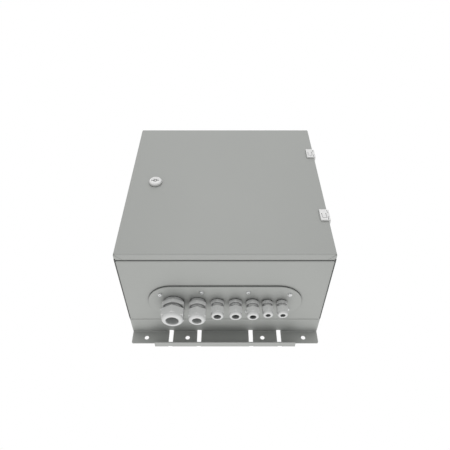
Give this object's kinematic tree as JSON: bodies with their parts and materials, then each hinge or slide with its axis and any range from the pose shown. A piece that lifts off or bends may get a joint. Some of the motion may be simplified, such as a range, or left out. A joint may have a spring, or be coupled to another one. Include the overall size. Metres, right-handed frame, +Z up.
{
  "type": "heated electrical enclosure",
  "caption": "Wall or mast mounted sheet-steel cabinet with a hinged lockable door, cable glands underneath, slotted rear brackets and a small finned heater inside.",
  "frame": {"origin": "centre of the outer wall bolt pattern, on the back face of the bracket flanges", "axes": "+Z up, -Y out of the door towards the user, +X to the right seen from the front"},
  "size_m": [0.4018, 0.2606, 0.4846],
  "materials": {
    "painted_body": "light grey textured powder coat",
    "painted_door": "light grey textured powder coat",
    "foam_seal": "matt foamed polyurethane",
    "rubber_seal": "matt moulded rubber",
    "gland_rubber": "grey moulded sealing insert",
    "zinc_screw": "bright zinc plate",
    "zinc_casting": "nickel-plated zinc die casting",
    "steel_pin": "ground steel",
    "zinc_sheet": "galvanised sheet",
    "heater_aluminium": "anodised extrusion",
    "heater_ceramic": "ceramic heating element in film",
    "black_plastic": "moulded glass-filled nylon",
    "pale_plastic": "moulded case",
    "grey_plastic": "moulded terminal block",
    "green_plastic": "moulded earth terminal",
    "gland_plastic": "moulded light grey polyamide"
  },
  "bodies": {
    "enclosure": {"enclosure_body": "painted_body", "gland_plate": "painted_body", "lower_bracket": "painted_body", "upper_bracket": "painted_body", "gland_plate_seal": "rubber_seal", "gland_washers": "rubber_seal", "gland_seals": "gland_rubber", "gland_plate_screws": "zinc_screw", "bracket_bolts": "zinc_screw", "bracket_nuts": "zinc_screw", "gland_plate_nuts": "zinc_screw", "body_hinge_screws": "zinc_screw", "plate_studs": "zinc_screw", "plate_nuts": "zinc_screw", "rail_screws": "zinc_screw", "body_earth_stud": "zinc_screw", "bracket_bolt_washers": "zinc_screw", "plate_spacers": "zinc_screw", "hinge_body_leaves": "zinc_casting", "hinge_pins": "steel_pin", "mounting_plate": "zinc_sheet", "support_rails": "zinc_sheet", "heater_profile": "heater_aluminium", "heater_element": "heater_ceramic", "heater_caps": "black_plastic", "heater_foot": "black_plastic", "controller_case": "pale_plastic", "breaker_case": "pale_plastic", "terminal_blocks": "grey_plastic", "end_stops": "grey_plastic", "earth_terminal": "green_plastic", "gland_locknuts": "gland_plastic", "gland_body_m32": "gland_plastic", "gland_cap_m32": "gland_plastic", "gland_body_m25": "gland_plastic", "gland_cap_m25": "gland_plastic", "gland_body_m20_a": "gland_plastic", "gland_cap_m20_a": "gland_plastic", "gland_body_m20_b": "gland_plastic", "gland_cap_m20_b": "gland_plastic", "gland_body_m20_c": "gland_plastic", "gland_cap_m20_c": "gland_plastic", "gland_body_m16_a": "gland_plastic", "gland_cap_m16_a": "gland_plastic", "gland_body_m16_b": "gland_plastic", "gland_cap_m16_b": "gland_plastic"},
    "door": {"door_panel": "painted_door", "door_seal": "foam_seal", "hinge_door_leaves": "zinc_casting", "door_hinge_screws": "zinc_screw", "lock_housing": "zinc_casting", "lock_seal": "rubber_seal", "lock_nut": "zinc_casting", "door_earth_stud": "zinc_screw"},
    "lock": {"lock_insert": "zinc_casting", "lock_cam": "zinc_sheet", "cam_screw": "zinc_screw"},
    "dial": {"controller_dial": "black_plastic"},
    "lever": {"breaker_lever": "black_plastic"}
  },
  "joints": [
    {"name": "door_hinge", "type": "hinge", "parent": "enclosure", "child": "door", "pos_m": [0.1997, -0.2546, 0], "axis": [0, 0, 1], "range_deg": [0, 130]},
    {"name": "lock_turn", "type": "hinge", "parent": "door", "child": "lock", "pos_m": [-0.145, -0.2538, 0], "axis": [0, 1, 0], "range_deg": [0, 90]},
    {"name": "dial_turn", "type": "hinge", "parent": "enclosure", "child": "dial", "pos_m": [-0.075, -0.1113, 0.085], "axis": [0, -1, 0], "range_deg": [-135, 135]},
    {"name": "breaker_switch", "type": "hinge", "parent": "enclosure", "child": "lever", "pos_m": [-0.02, -0.1313, 0.095], "axis": [1, 0, 0], "range_deg": [0, 60]}
  ]
}
